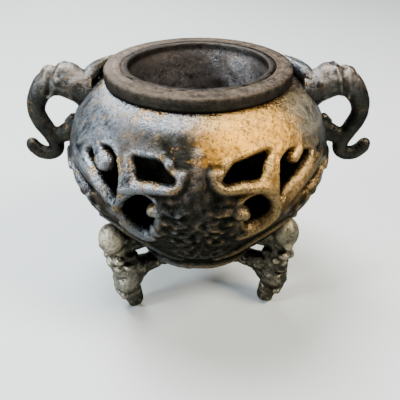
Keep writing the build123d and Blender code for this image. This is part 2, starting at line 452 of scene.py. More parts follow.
# Beads on the solid bowl: side, angle, height, radius, rise
studs = [
    (0, 14.2, 89.6, 2.2, 1.3),
    (0, 11.4, 87.4, 2.5, 1.9),
    (0, 8.0, 84.4, 2.6, 1.9),
    (0, 6.0, 84.4, 1.5, 2.2),
    (0, 2.4, 77.6, 3.2, 1.5),
    (-1, 10.0, 75.6, 1.7, 0.8),
    (1, 11.4, 75.4, 2.1, 0.9),
    (-1, 14.0, 77.0, 1.3, 0.7),
    (1, 8.0, 74.0, 1.4, 0.7),
    (-1, 6.2, 73.6, 1.5, 0.8),
    (0, 6.4, 68.2, 1.6, 1.2),
    (0, 12.4, 67.0, 1.6, 1.1),
    (0, 9.2, 63.0, 1.6, 1.1),
    (0, 13.8, 61.4, 1.7, 1.1),
    (0, 3.2, 62.8, 1.5, 1.1),
    (0, 5.0, 57.2, 1.7, 1.1),
    (0, 11.0, 56.4, 1.6, 1.0),
    (0, 50.0, 67.0, 2.0, 1.3),
    (0, 44.4, 64.6, 1.9, 1.3),
    (0, 56.5, 66.4, 2.0, 1.1),
    (0, 47.0, 60.2, 1.7, 1.1),
    (0, 53.0, 61.4, 1.5, 1.0),
]

# Raised lines: side, points, half width, height; a negative height is a groove
ridges = [
    (0, [(0, 93), (0, 88), (0.3, 82), (0, 76), (0, 72)], 7.4, 1.2),
    (0, [(0, 90.0), (0.4, 85.0), (0, 80.0), (0, 76.4)], 4.6, 1.7),
    (0, [(5.6, 84.6), (6.8, 81.6), (10.0, 79.7), (15, 79.4), (21, 79.2), (26, 78.2),
         (30, 76.6)], 2.5, 2.1),
    (0, [(30.6, 87.5), (29.6, 83.0), (29.8, 78.0), (32.0, 72.5), (36.0, 67.0)], 3.2, 1.3),
    (0, [(33.4, 86.0), (32.2, 81.5), (32.3, 77.0), (33.6, 72.5)], 1.0, 1.5),
    (0, [(64, 80.4), (56, 78.9), (47.5, 76.2), (41.0, 73.0), (36.4, 69.4)], 2.3, 1.2),
    (0, [(35.0, 88.2), (40, 90.8), (48, 91.2), (55, 88.4), (62, 84.6)], 2.0, 1.2),
    (-1, [(46.5, 82.6), (45.0, 86.0), (41.2, 87.6), (37.8, 86.0), (37.4, 82.8)], 0.8, -0.9),
    (0, [(64, 69.6), (54, 68.0), (46, 64.0), (40, 60.6)], 1.6, 0.9),
    (0, [(68.0, 57.6), (60, 59.2), (52, 56.6), (46, 57.6)], 1.6, 0.8),
    (0, [(84, 70.0), (81, 62.0), (75, 57.0)], 2.2, 1.1),
    (0, [(90, 64.0), (90, 50.0)], 2.6, 1.1),
    (0, [(17.6, 76.6), (14.6, 73.6), (14.6, 67.0), (16.0, 61.6), (18.4, 57.4)], 1.4, 0.9),
    (1, [(18.0, 57.6), (22.6, 58.8), (27.0, 61.4), (30.6, 65.4), (31.8, 69.0)], 2.5, 1.9),
    (-1, [(19.6, 55.6), (25.0, 53.4), (30.4, 55.6), (34.2, 60.4)], 1.7, 1.3),
    (0, [(8.4, 76.4), (11.0, 77.0), (13.0, 75.4), (12.4, 72.8), (9.6, 72.2), (8.0, 74.2)],
     0.9, 0.6),
    (-1, [(3.6, 72.6), (8.0, 71.4), (13.6, 72.4)], 2.2, 1.5),
    (1, [(3.6, 72.4), (8.4, 71.6), (13.4, 71.4)], 2.2, 1.5),
    (-1, [(2.2, 69.4), (5.6, 66.2), (10.4, 64.9)], 1.2, 1.1),
    (1, [(1.6, 69.0), (5.6, 64.8), (11.0, 64.5)], 1.2, 1.1),
    (-1, [(0.6, 66.6), (3.6, 61.0), (8.6, 59.0)], 1.1, 1.0),
    (1, [(1.0, 65.8), (5.4, 60.6), (9.0, 59.6)], 1.1, 1.0),
    (0, [(0.0, 69.0), (0.3, 64.0), (-0.2, 58.0)], 1.6, 1.2),
    (-1, [(2.0, 58.8), (5.2, 54.2), (11.6, 52.6)], 1.1, 1.1),
    (1, [(3.0, 57.8), (7.8, 53.6), (12.6, 54.4)], 1.1, 1.1),
    (0, [(1.4, 55.0), (3.6, 50.6), (7.6, 48.0)], 1.1, 1.0),
    (0, [(0.2, 48.0), (2.6, 43.4), (5.4, 40.0)], 1.1, 0.9),
    (0, [(10.4, 49.6), (13.6, 47.2), (17.6, 49.6)], 1.0, 0.8),
    (0, [(5.6, 46.6), (9.0, 43.6), (12.6, 43.8)], 1.0, 0.8),
    (-1, [(46.0, 94.2), (49.0, 93.0)], 0.8, -0.6),
    (1, [(45.0, 94.0), (50.0, 93.4)], 0.7, -0.6),
]


def border_height(angle):
    """Height of the scalloped lower border that closes each panel."""
    low, rise, half_panel = 32.5, 26.0, 47.0
    from_middle = np.minimum(np.abs(angle), 90 - np.abs(angle))
    return low + rise * np.sin(np.radians(from_middle * 90 / half_panel)) ** 2


def shell_distance():
    """Distance into the metal from the nearest opening's edge, negative in openings."""
    far_inside = 50.0
    solid = np.full(grid_u.shape, far_inside)
    for side, outline in openings:
        solid = np.where(on_side(side), np.minimum(solid, window_gap(outline)), solid)
    for side, start, end, radius, _ in beads:
        gap, _ = line_gap(along([start, end]))
        solid = np.where(on_side(side), np.maximum(solid, radius - gap), solid)
    return solid


def soft_max(first, second, soft=0.35):
    """Larger of two heights, with a small fillet where they cross."""
    h = np.clip(0.5 + 0.5 * (second - first) / soft, 0, 1)
    return first + (second - first) * h + soft * h * (1 - h)


def ridge_crown(points, half_width, height):
    """Rounded profile of a raised line; a low one tapers off at its ends."""
    taper, least_end, tapers_under = 0.12, 0.25, 1.2
    gap, place = line_gap(smooth_line(along(points), 8 * len(points)))
    across = np.clip(gap / half_width, 0, 1)
    ends = 1.0
    if height < tapers_under:
        ends = np.clip(np.minimum(place, 1 - place) / taper, least_end, 1)
    return abs(height) * ends * np.sqrt(1 - across**2) * (1 - 0.25 * across)


def dome(gap, radius, height):
    """Rounded bump over the places that are nearer than its radius."""
    return height * np.sqrt(np.clip(1 - (gap / radius) ** 2, 0, 1))


def border_relief(relief):
    """Relief with the raised line of the lower border, and the sunk field under it."""
    line_height, line_half_width, sunk = 1.5, 1.3, 0.7
    above = grid_s - arc_at(border_height(fold_deg))[None, :]
    faded = smooth_step(grid_s, arc_at(32.0) + 0.5, arc_at(36.0))
    line = dome(above, line_half_width, line_height) * faded
    field = smooth_step(-above, 0.6, 2.0) * smooth_step(above, -12.0, -6.0)
    return np.maximum(relief, line) - sunk * field


def mask_crust():
    """Height of the crusty lumps on the middle of the front and back panels."""
    coarse, small, patches = 3.0, 1.4, 11.0
    flat = plain_bowl().reshape(-1, 3)
    lumps = roughness_of_cast(flat, coarse, 8) + 0.6 * roughness_of_cast(flat, small, 9)
    low, high = arc_at(36.0), arc_at(76.0)
    area = smooth_step(grid_s, low, low + 4) * smooth_step(-grid_s, -high, -high + 4)
    area = area * smooth_step(-grid_u, -13.0, -9.0)
    spread = 0.55 + 0.9 * roughness_of_cast(flat, patches, 10)
    spread = np.clip(spread, 0.15, 1).reshape(grid_u.shape)
    return 0.8 * area * lumps.reshape(grid_u.shape) * spread


def shell_relief():
    """Height of the outer relief above the plain bowl."""
    shoulder_rise = 0.95
    relief = shoulder_rise * smooth_step(grid_s, arc_at(83.0), arc_at(88.0))
    grooves = np.zeros(relief.shape)
    for side, points, half_width, height in ridges:
        crown = ridge_crown(points, half_width, height)
        if height < 0:
            grooves = np.where(on_side(side), np.maximum(grooves, crown), grooves)
        else:
            relief = np.where(on_side(side), soft_max(relief, crown), relief)
    for side, angle, height, radius, rise in studs:
        u, s = along([(angle, height)])[0]
        bump = dome(np.hypot(grid_u - u, grid_s - s), radius, rise)
        relief = np.where(on_side(side), soft_max(relief, bump), relief)
    return border_relief(relief) + mask_crust() - grooves


def bead_domes():
    """Height of the beads that reach into openings."""
    domes = np.zeros(grid_u.shape)
    for side, start, end, radius, height in beads:
        gap, _ = line_gap(along([start, end]))
        bump = dome(gap, radius, height)
        domes = np.where(on_side(side), np.maximum(domes, bump), domes)
    return domes


def ring_places(radius, height):
    """Places on the grid from a radius and a height for each."""
    angle = np.radians(angle_deg)[None, :]
    return np.stack([radius * np.sin(angle), -radius * np.cos(angle), height + 0 * angle], 2)


def plain_bowl():
    """Places of the plain outer face on the whole grid."""
    return ring_places(outer_rows[:, :1], outer_rows[:, 1:])


def body_shell():
    """Pierced bowl: relief outside, smooth inside, and rounded bars between openings."""
    edge_round = 1.1
    solid = shell_distance()
    relief = shell_relief()
    near = np.clip(solid / edge_round, 0, 1)
    fall = 1 - np.sqrt(1 - (1 - near) ** 2)
    direction = outer_rows - inner_rows
    wall = np.linalg.norm(direction, axis=1)[:, None]
    direction = direction / wall

    def place(rows, offset):
        return ring_places(rows[:, :1] + direction[:, :1] * offset,
                           rows[:, 1:] + direction[:, 1:] * offset)

    flat = plain_bowl().reshape(-1, 3)
    uneven = 0.20 * roughness_of_cast(flat, 8.0, 1) + 0.10 * roughness_of_cast(flat, 2.2, 2)
    uneven = uneven.reshape(solid.shape)
    on_flank = np.zeros(len(outer_rows))
    on_flank[first_row:last_row] = 1
    uneven *= 0.35 + 0.65 * on_flank[:, None]
    lift = np.maximum(relief * smooth_step(solid, -0.3, 1.2), bead_domes()) + uneven
    lift = lift * smooth_step(arc_length[-1] - arc_length, 5.0, 12.0)[:, None]
    outer = place(outer_rows, lift - fall * (wall / 2 + lift))
    inner = place(inner_rows, fall * wall / 2)
    middle = place(outer_rows, -wall / 2 + 0 * solid)
    points, faces = shell_faces(solid, outer, inner, middle)
    make_piece("bowl_casting", points, faces, "bowl", "bowl_bronze", "body_shell")


def shell_faces(solid, outer, inner, middle):
    """Faces of both sides of the shell, joined along the edges of the openings."""
    least = 0.072
    solid = np.where(np.abs(solid) < least, least * np.sign(solid + 1e-9), solid)
    keep = solid > 0
    count = int(keep.sum())
    number = np.full(solid.shape, -1)
    number[keep] = np.arange(count)
    across = np.roll(keep, -1, axis=1)
    full = keep[:-1] & across[:-1] & keep[1:] & across[1:]
    next_number = np.roll(number, -1, axis=1)
    quads = np.stack(
        [number[:-1][full], next_number[:-1][full], next_number[1:][full], number[1:][full]], 1
    )
    faces = quads.tolist() + (quads[:, ::-1] + count).tolist()
    crossing = {}
    extra = []

    def edge_point(a, b):
        key = (a, b) if a < b else (b, a)
        if key not in crossing:
            t = solid[key[0]] / (solid[key[0]] - solid[key[1]])
            extra.append(middle[key[0]] * (1 - t) + middle[key[1]] * t)
            crossing[key] = 2 * count + len(extra) - 1
        return crossing[key]

    cut_cells = (keep[:-1] | across[:-1] | keep[1:] | across[1:]) & ~full
    for i, j in np.argwhere(cut_cells):
        k = (j + 1) % columns
        corners = [(i, j), (i, k), (i + 1, k), (i + 1, j)]
        front, back = [], []
        for a, b in zip(corners, corners[1:] + corners[:1]):
            if keep[a]:
                front.append(int(number[a]))
                back.append(int(number[a]) + count)
            if keep[a] != keep[b]:
                shared = edge_point(a, b)
                front.append(shared)
                back.append(shared)
        if len(front) >= 3:
            faces.append(front)
            faces.append(back[::-1])

    first, last = number[0].tolist(), number[-1].tolist()
    for a, b in zip(last, last[1:] + last[:1]):
        faces.append([a, b, b + count, a + count])
    faces.append(first[::-1])
    faces.append([a + count for a in first])
    return np.vstack([outer[keep], inner[keep], np.array(extra)]), faces


# ---- liner and rim ring
def lathe(profile, segments, shaped):
    """Closed solid of revolution from a closed (radius, height) outline.

    shaped moves the plain points. Rows on the axis become a single point.
    """
    profile = np.asarray(profile, float)
    angle = np.arange(segments) * 2 * math.pi / segments
    rows = len(profile)
    radius = np.repeat(profile[:, :1], segments, axis=1)
    height = np.repeat(profile[:, 1:], segments, axis=1)
    points = np.stack([radius * np.sin(angle), -radius * np.cos(angle), height], 2)
    points = shaped(points.reshape(-1, 3))
    on_axis = profile[:, 0] == 0
    faces = []
    for i in range(rows):
        n = (i + 1) % rows
        for j in range(segments):
            k = (j + 1) % segments
            corners = [row * segments + (0 if on_axis[row] else place)
                       for row, place in ((i, j), (i, k), (n, k), (n, j))]
            face = list(dict.fromkeys(corners))
            if len(face) > 2:
                faces.append(face)
    used = np.unique([corner for face in faces for corner in face])
    number = np.full(rows * segments, -1)
    number[used] = np.arange(len(used))
    faces = [number[face].tolist() for face in faces]
    return points[used], faces


def fine(points, step):
    """Closed chain of points with the long spans divided."""
    result = []
    for a, b in zip(points, points[1:] + points[:1]):
        a, b = np.array(a, float), np.array(b, float)
        parts = max(1, int(round(np.linalg.norm(b - a) / step)))
        result += [a + (b - a) * k / parts for k in range(parts)]
    return result


def worn_top(points):
    """Points of the rim or the liner with the worn, uneven top taken off them."""
    level = points.copy()
    level[:, 2] = 0
    wave = 0.07 * roughness_of_cast(level, 9.0, 3) + 0.035 * roughness_of_cast(level, 2.0, 4)
    worn = points.copy()
    near_top = smooth_step(points[:, 2], ring_top - 1.2, ring_top - 0.2)
    worn[:, 2] -= (0.08 + wave).clip(0) * near_top
    return worn


def rim_ring():
    """Heavy ring with a worn top and small knocks."""
    r, top, low = ring_radius, ring_top, ring_base
    bore = lip_radius + lip_groove
    under = hole_radius + 1.6
    outline = [
        (bore, top - lip_depth), (bore, top - 0.1), (lip_radius + 0.12, top), (r - 1.3, top),
        (r - 0.5, top - 0.25), (r - 0.08, top - 0.9), (r, top - 2.2), (r - 0.05, low + 0.5),
        (r - 0.5, low), (under, low), (under, top - lip_depth),
    ]

    def knocks(points):
        wave = 0.10 * roughness_of_cast(points, 9.0, 3) + 0.05 * roughness_of_cast(points, 2.0, 4)
        dents = np.clip(roughness_of_cast(points, 3.4, 5) - 0.42, 0, 1) * 1.1
        away = unit_rows(points * np.array([1, 1, 0]))
        outside = smooth_step(np.hypot(points[:, 0], points[:, 1]), r - 1.6, r - 0.2)
        return worn_top(points + away * ((wave - dents) * outside)[:, None])

    points, faces = lathe(fine(outline, 0.7), 320, knocks)
    make_piece("rim_casting", points, faces, "liner", "rim_bronze", "rim_ring")


# Beads of solder on the lip: angle from the front, half width in degrees, height
solder_beads = [(-36, 2.6, 0.75), (-30, 2.0, 0.55), (-24.5, 2.4, 0.6), (-18, 1.8, 0.4),
                (66, 2.2, 0.35)]


def liner_cup():
    """Smooth deep cup with a narrow worn lip and a few beads of solder on it."""
    cup_wall, corner, turn_steps = 1.5, 8.0, 8
    inner, outer = hole_radius, hole_radius + cup_wall
    inner_corner = corner - cup_wall
    low, top = cup_bottom, ring_top
    lip = lip_radius - lip_groove
    turn = np.linspace(0, math.pi / 2, turn_steps)
    outline = [(0.0, low)]
    outline += [(outer - corner + corner * math.sin(t), low + corner - corner * math.cos(t))
                for t in turn]
    outline += [(outer, top - lip_depth), (lip, top - lip_depth), (lip, top - 0.1),
                (lip_radius - 0.12, top), (inner + 0.3, top), (inner - 0.02, top - 0.3),
                (inner, top - 1.2), (inner, low + corner)]
    outline += [(inner - corner + cup_wall + inner_corner * math.cos(t),
                 low + corner - inner_corner * math.sin(t)) for t in turn[1:]]
    outline += [(0.0, low + cup_wall)]

    def solder(points):
        points = points.copy()
        angle = np.degrees(np.arctan2(points[:, 0], -points[:, 1]))
        radius = np.maximum(np.hypot(points[:, 0], points[:, 1]), 0.01)
        inward = smooth_step(-radius, -inner - 0.8, -inner)
        near_lip = smooth_step(points[:, 2], top - 1.6, top - 0.6)
        for middle, half_width, height in solder_beads:
            bump = height * np.exp(-(((angle - middle) / half_width) ** 2)) * near_lip
            points[:, :2] *= (1 - bump * inward / radius)[:, None]
        return worn_top(points)

    points, faces = lathe(fine(outline, 1.1), 256, solder)
    faces = [face[::-1] for face in faces]
    make_piece("liner_casting", points, faces, "liner", "liner_bronze", "liner_cup")


# ---- lugs
# Spine of a lug as places, and its width at shares of the length
lug_spine = [(31.6, 20.0, 102.6), (36.3, 12.6, 102.9), (39.4, 6.4, 102.6), (41.4, 1.4, 101.8),
             (43.0, -3.4, 100.6)]
lug_widths = [(0, 1.0), (0.45, 2.3), (0.8, 2.6), (1, 0.9)]

# Roots that join a lug to the shoulder: top and bottom
lug_roots = [((38.6, 9.0, 101.0), (39.6, 8.0, 94.0)), ((41.4, 3.6, 100.5), (42.4, 3.4, 92.0)),
             ((34.6, 16.0, 101.0), (36.0, 15.6, 96.0))]


def lug_points():
    """Leaf-shaped lug of the right side, hollowed under its tip."""
    samples, lug_top = 12, 104.6
    solid = Solid((28.0, -8.0, 88.98), (48.0, 26.0, 106.0), 0.34)
    spine = smooth_line(lug_spine, samples)
    widths = np.interp(np.linspace(0, 1, samples), *zip(*lug_widths))
    for k in range(samples - 1):
        solid.rod(spine[k], spine[k + 1], widths[k:k + 2], 1.0)
    for start, end in lug_roots:
        solid.rod(start, end, (2.0, 2.6), 1.4)
    solid.rod((38.6, -4.6, 97.6), (38.8, 1.4, 98.6), (2.3, 1.6), 0.6, sign=-1)
    x, y, z = solid.grid
    solid.cut((ring_radius + ring_clearance) - np.hypot(x, y))
    solid.cut(z - lug_top)
    return solid.mesh()


def lugs():
    """Both lugs, the left one a mirror image of the right one."""
    points, faces = lug_points()
    make_piece("lug_casting_right", points, faces, "bowl", "bowl_bronze", "right_lug")
    mirrored = points * np.array([-1, 1, 1])
    faces = [face[::-1] for face in faces]
    make_piece("lug_casting_left", mirrored, faces, "bowl", "bowl_bronze", "left_lug")


# ---- handles
# Elephant's trunk in the plane Y = 0: distance from the axis, height, radius
trunk_line = [
    (50.5, 99.4, 6.1), (55.4, 99.0, 5.6), (60.0, 96.8, 4.6), (63.6, 91.6, 3.8),
    (64.8, 86.6, 3.4), (63.5, 81.8, 3.4), (61.0, 77.2, 3.2), (59.0, 72.8, 3.1),
    (59.2, 69.4, 2.9), (61.6, 67.7, 2.8), (65.2, 68.0, 2.8), (68.0, 70.3, 2.7),
    (68.9, 72.0, 2.4),
]


def handle_points():
    """Head with ears, brow, tusks and a curled trunk, and a tab under the loop."""
    solid = Solid((39.0, -9.5, 62.5), (73.0, 9.5, 108.0), 0.36)
    solid.rod((44.5, 0, 97.2), (50.5, 0, 99.4), (5.4, 6.1), 0.5)
    route = smooth_line(trunk_line, 40)
    for a, b in zip(route[:-1], route[1:]):
        solid.rod((a[0], 0, a[1]), (b[0], 0, b[1]), (a[2], b[2]), 0.5, flat=0.92)
    solid.rod((49, 0, 79.0), (57.5, 0, 75.6), (5.0, 3.2), 1.6, flat=0.8)
    solid.rod((50.5, 0, 83.5), (53.2, 0, 82.2), (2.0, 1.0), 0.9, flat=0.9)
    solid.ball((49.6, 0, 103.2), (3.8, 3.6, 2.8), 1.2)
    solid.ball((58.2, 0, 102.4), (2.4, 2.9, 2.3), 0.9)
    solid.rod((43.0, 0, 88.5), (47.5, 0, 96.5), (3.6, 4.6), 2.0)
    solid.rod((43.5, 0, 95.5), (50.5, 0, 98.4), (6.6, 6.2), 1.0)
    for side in (-1, 1):    # brow, eye, ear, tusk's socket and tusk
        solid.rod((51.4, side * 2.8, 104.2), (54.6, side * 4.2, 101.6), (1.3, 1.0), 1.0)
        solid.ball((52.6, side * 5.2, 100.6), (1.4, 1.0, 1.2), 0.45)
        solid.rod((47.4, side * 4.6, 99.4), (48.6, side * 4.8, 94.4), (2.0, 1.5), 0.8)
        solid.rod((54.6, side * 6.4, 99.2), (51.0, side * 6.9, 97.6), (1.0, 0.7), 0.8, sign=-1)
        solid.rod((56.0, side * 3.4, 96.4), (58.2, side * 4.0, 93.6), (1.3, 0.8), 0.9)

    # A groove across the trunk with a swelling on each side of it
    x, y, z = solid.grid
    band = (x - 56.4) * 0.97 + (z - 99.0) * 0.25 + 0.5 * np.sin(y * 1.1)
    around = smooth_step(z, 92.0, 95.5)
    for depth, offset, width in ((0.6, 0.0, 0.9), (-0.5, -1.9, 1.0), (-0.4, 2.1, 1.1)):
        solid.field += depth * np.exp(-(((band - offset) / width) ** 2)) * around
    innermost = 40.6
    solid.cut(innermost - x)
    solid.cut(solid.beyond_bowl(0.8))
    return solid.mesh()


def handles():
    """Both handles, the left one turned half round."""
    loop_middle = np.array([55.0, 0, 88.0])
    points, faces = handle_points()
    away = unit_rows(points - loop_middle, 1e-9)
    for name, node, degrees, seed in (("handle_casting_right", "right_handle", 0, 11),
                                      ("handle_casting_left", "left_handle", 180, 12)):
        rough = 0.13 * roughness_of_cast(points, 3.0, seed)
        rough += 0.07 * roughness_of_cast(points, 1.1, seed + 5)
        placed = turned(points + away * rough[:, None], degrees)
        make_piece(name, placed, faces, "bowl", "handle_bronze", node)


# ---- legs
# Collar of lumps under a leg's head: place and radius
collar_lumps = [(43.0, -3.3, 30.4, 2.5), (43.6, 0.6, 29.0, 2.6), (42.0, 4.0, 30.4, 2.3),
                (42.6, -2.0, 25.8, 2.3), (41.8, 2.8, 26.0, 2.2), (40.4, -4.4, 27.4, 1.9),
                (40.6, 0.2, 23.4, 2.6), (38.6, 5.2, 26.6, 1.8)]


def leg_points(seed, pull):
    """Rough cast leg along +X: dome, collar of lumps, muzzle, foot and the arm inwards."""
    solid = Solid((12.0, -9.0, -0.8), (50.5, 9.0, 49.0), 0.36)
    top = 42.6 - pull
    solid.ball((top, 0, 39.8), (5.3, 5.5, 7.1), 0.5)
    solid.ball((top + 2.6, -3.4, 35.6), (1.9, 1.9, 1.7), 1.2)
    solid.rod((top - 1.6, 0, 33.0), (38.4, 0, 22.0), (3.9, 5.0), 0.5)
    solid.rod((top - 3, 0, 37.6), (33.0, 0, 36.4), (3.4, 2.8), 0.9)
    solid.rod((top - 4, 0, 34.0), (28.6, 0, 32.8), (3.4, 2.6), 0.9)
    solid.rod((top - 4, 0, 28), (34.2, 0, 27.4), (3.4, 2.9), 0.9)
    solid.rod((37.0, 0, 23.2), (31.0, 0, 21.2), (4.6, 4.3), 0.9)
    solid.rod((31.0, 0, 21.2), (24.0, 0, 21.2), (4.3, 3.9), 0.9)
    solid.rod((24.0, 0, 21.2), (16.0, 0, 21.8), (3.9, 3.3), 0.9)
    solid.rod((34.0, 0, 14.6), (30.0, 0, 18.4), (3.6, 3.2), 0.9)
    solid.ball((37.4, 0, 16.4), (5.6, 5.9, 7.6), 0.9)
    solid.rod((35.4, 0, 9.0), (34.4, 0, 3.8), (4.2, 3.9), 0.4)
    for out, across, up, radius in collar_lumps:
        solid.ball((out - 0.6 * pull, across, up), (radius, radius, 0.85 * radius), 0.8)
    for side in (-1, 1):    # cheek, eye socket and toe
        solid.ball((39.2, side * 3.5, 15.8), (3.3, 2.7, 3.9), 0.7)
        solid.rod((42.0, side * 1.6, 19.8), (40.2, side * 5.0, 20.4), (0.6, 0.9), 0.7, sign=-1)
        solid.ball((36.4, side * 2.0, 4.0), (2.1, 1.9, 2.8), 0.5)
    solid.rod((42.0, 0, 19.4), (41.6, 0, 14.6), (1.2, 2.1), 0.8)
    solid.rod((40.3, -2.9, 10.0), (40.3, 2.9, 10.0), (1.8, 1.8), 0.4)
    solid.rod((43.2, -4.4, 12.4), (43.2, 4.4, 12.4), (1.0, 1.0), 0.5, sign=-1)
    z = solid.grid[2]
    bowl_foot = 32.4
    solid.cut(-z)
    solid.cut(np.where(z > bowl_foot, solid.beyond_bowl(0.9), -9.0))
    points, faces = solid.mesh()

    out, height = points[:, 0], points[:, 2]
    off_floor = smooth_step(height, 0.3, 2.0)
    on_arm = smooth_step(-out, -38.0, -33.0)
    on_dome = 0.75 * smooth_step(height, 31.0, 35.0) * (1 - on_arm)
    rough = (0.30 + 0.15 * on_arm) * roughness_of_cast(points, 2.8, seed)
    rough += (0.13 + 0.16 * on_arm) * roughness_of_cast(points, 1.2, seed + 3)
    rough *= (1 - on_dome) * off_floor
    middle = np.stack([np.clip(out, 17, 39), 0 * out, height], 1)
    return points + unit_rows(points - middle, 1e-6) * rough[:, None], faces


def legs():
    """Three legs, each with its own unevenness."""
    for seed, (node, azimuth) in zip((20, 27, 34), leg_azimuths.items()):
        points, faces = leg_points(seed, leg_pulls[node])
        name = node.replace("leg", "leg_casting")
        make_piece(name, turned(points, azimuth), faces, "bowl", "leg_bronze", node)


def dress_cad_rivets():
    """The CAD rivets stay, with a bronze material in their slots."""
    materials = frame["nodes"]["leg_rivets"].data.materials
    materials.clear()
    materials.append(cast_bronze("rivet_bronze"))


# ---- shader nodes
def set_input(node, place, value):
    """Set a node's input to a number or a colour, or link a value to it."""
    socket = node.inputs[place]
    if isinstance(value, Value):
        node.id_data.links.new(value.socket, socket)
    else:
        socket.default_value = value + (1,) if isinstance(value, tuple) else value


def new_node(tree, kind, inputs=None, **properties):
    """New shader node with its properties and inputs set."""
    node = tree.nodes.new(kind)
    for key, value in properties.items():
        setattr(node, key, value)
    for place, value in (inputs or {}).items():
        set_input(node, place, value)
    return node


class Value:
    """Output of a shader node that can be used in sums and products."""

    def __init__(self, node, place=0):
        self.socket = node.outputs[place]
        self.tree = node.id_data

    def maths(self, operation, other, clamp=False):
        return Value(new_node(self.tree, "ShaderNodeMath", {0: self, 1: other},
                              operation=operation, use_clamp=clamp))

    def __add__(self, other):
        return self.maths("ADD", other)

    def __sub__(self, other):
        return self.maths("SUBTRACT", other)

    def __mul__(self, other):
        return self.maths("MULTIPLY", other)

    def most(self, other):
        """The larger of the two."""
        return self.maths("MAXIMUM", other)

    def clamped(self):
        """The value kept between 0 and 1."""
        return self.maths("ADD", 0.0, clamp=True)

    def soft(self, start, end):
        """Smooth 0 to 1 between two values; they may run downwards."""
        return Value(new_node(self.tree, "ShaderNodeMapRange",
                              {"Value": self, "From Min": start, "From Max": end},
                              interpolation_type="SMOOTHSTEP"))

    def mixed(self, first, second):
        """Colour between two colours or values, with this value as the share of the second."""
        node = new_node(self.tree, "ShaderNodeMix", data_type="RGBA")
        for place, value in ((0, self), (6, first), (7, second)):
            set_input(node, place, value)
        return Value(node, 2)


def noise_value(coords, size_mm, detail, rough):
    """Noise whose features are about size_mm across."""
    return Value(new_node(coords.tree, "ShaderNodeTexNoise",
                          {"Vector": coords, "Scale": 1 / (size_mm * MM), "Detail": detail,
                           "Roughness": rough}))


# ---- bronze
metallic, specular_level, specular_tint = 0.95, 0.25, (0.45, 0.45, 0.45)
pit_size_mm = 1.15
ragged_edge = 0.030    # how far noise pushes the edge of a zone, in metres
bump_depth = 0.0008    # in metres


def both_faces(*zones):
    """Zones of the front, and the same ones turned half round for the back."""
    return [((turn * x, turn * y, z), inner, outer)
            for (x, y, z), inner, outer in zones for turn in (1, -1)]


